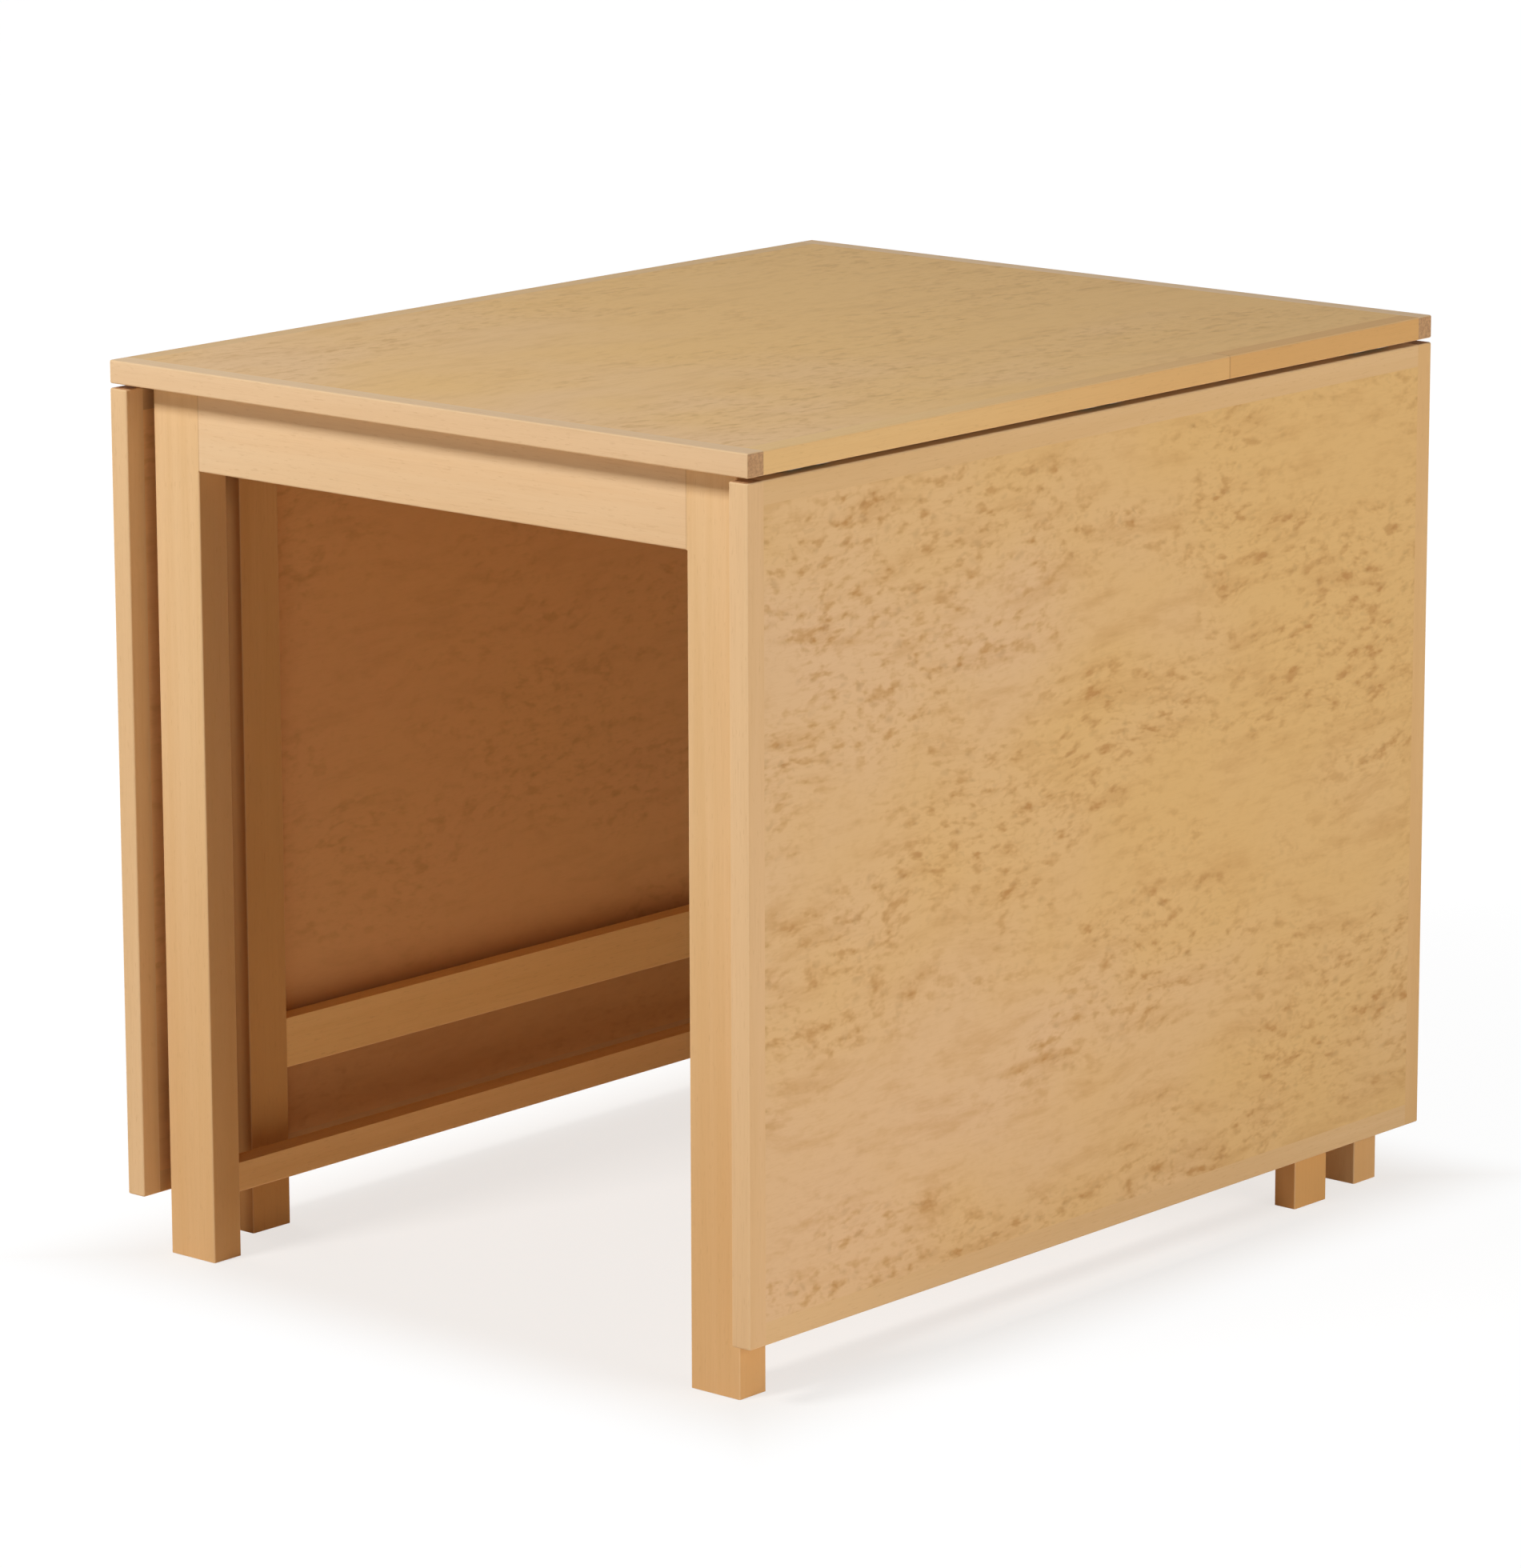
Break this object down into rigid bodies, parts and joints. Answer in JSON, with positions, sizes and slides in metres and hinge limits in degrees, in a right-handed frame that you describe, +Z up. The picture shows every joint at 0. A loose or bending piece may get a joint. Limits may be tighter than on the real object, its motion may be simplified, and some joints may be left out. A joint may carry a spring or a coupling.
{
  "type": "butterfly folding table",
  "caption": "Wooden folding table: fixed veneered top on a legged frame, hinged leaves hanging at the long sides and hinged gates behind them that swing out to carry the raised leaves.",
  "frame": {"origin": "on the floor under the middle of the table", "axes": "+X towards the right leaf, +Y towards the back, +Z up"},
  "size_m": [0.656, 0.84, 0.72],
  "materials": {
    "birch": "satin lacquer",
    "masur_veneer": "satin lacquer",
    "core_board": "sawn",
    "brass": "dulled",
    "steel": "zinc plated"
  },
  "bodies": {
    "frame": {"apron_back": "birch", "apron_front": "birch", "gate_hinge_fixed_leaves": "brass", "gate_hinge_fixed_screws": "brass", "gate_hinge_pins": "brass", "leaf_hinge_housings_left": "steel", "leaf_hinge_housings_right": "steel", "leaf_hinge_pins": "steel", "leaf_hinge_screws": "steel", "leg_back_left": "birch", "leg_back_right": "birch", "leg_front_left": "birch", "leg_front_right": "birch", "side_rail_left": "birch", "side_rail_right": "birch", "stretcher_left": "birch", "stretcher_right": "birch", "top_back_veneer": "birch", "top_button_screws": "steel", "top_buttons": "birch", "top_core": "core_board", "top_face_veneer": "masur_veneer", "top_lipping_back": "birch", "top_lipping_front": "birch", "top_lipping_left": "birch", "top_lipping_right": "birch"},
    "leaf_left": {"leaf_left_arm_screws": "steel", "leaf_left_back_veneer": "masur_veneer", "leaf_left_core": "core_board", "leaf_left_face_veneer": "masur_veneer", "leaf_left_hinge_arms": "steel", "leaf_left_lipping_back": "birch", "leaf_left_lipping_front": "birch", "leaf_left_lipping_hinge": "birch", "leaf_left_lipping_lower": "birch"},
    "leaf_right": {"leaf_right_arm_screws": "steel", "leaf_right_back_veneer": "masur_veneer", "leaf_right_core": "core_board", "leaf_right_face_veneer": "masur_veneer", "leaf_right_hinge_arms": "steel", "leaf_right_lipping_back": "birch", "leaf_right_lipping_front": "birch", "leaf_right_lipping_hinge": "birch", "leaf_right_lipping_lower": "birch"},
    "gate_left": {"gate_left_free_leg": "birch", "gate_left_hinge_leaves": "brass", "gate_left_hinge_screws": "brass", "gate_left_low_rail": "birch", "gate_left_pivot_post": "birch", "gate_left_top_rail": "birch"},
    "gate_right": {"gate_right_free_leg": "birch", "gate_right_hinge_leaves": "brass", "gate_right_hinge_screws": "brass", "gate_right_low_rail": "birch", "gate_right_pivot_post": "birch", "gate_right_top_rail": "birch"}
  },
  "joints": [
    {"name": "leaf_right_lift", "type": "hinge", "parent": "frame", "child": "leaf_right", "pos_m": [0.31875, 0, 0.71075], "axis": [0, -1, 0], "range_deg": [0, 90]},
    {"name": "leaf_left_lift", "type": "hinge", "parent": "frame", "child": "leaf_left", "pos_m": [-0.31875, 0, 0.71075], "axis": [0, 1, 0], "range_deg": [0, 90]},
    {"name": "gate_right_swing", "type": "hinge", "parent": "frame", "child": "gate_right", "pos_m": [0.3005, -0.366, 0], "axis": [0, 0, -1], "range_deg": [-0.7, 0]},
    {"name": "gate_left_swing", "type": "hinge", "parent": "frame", "child": "gate_left", "pos_m": [-0.3005, 0.366, 0], "axis": [0, 0, -1], "range_deg": [-0.7, 0]}
  ]
}
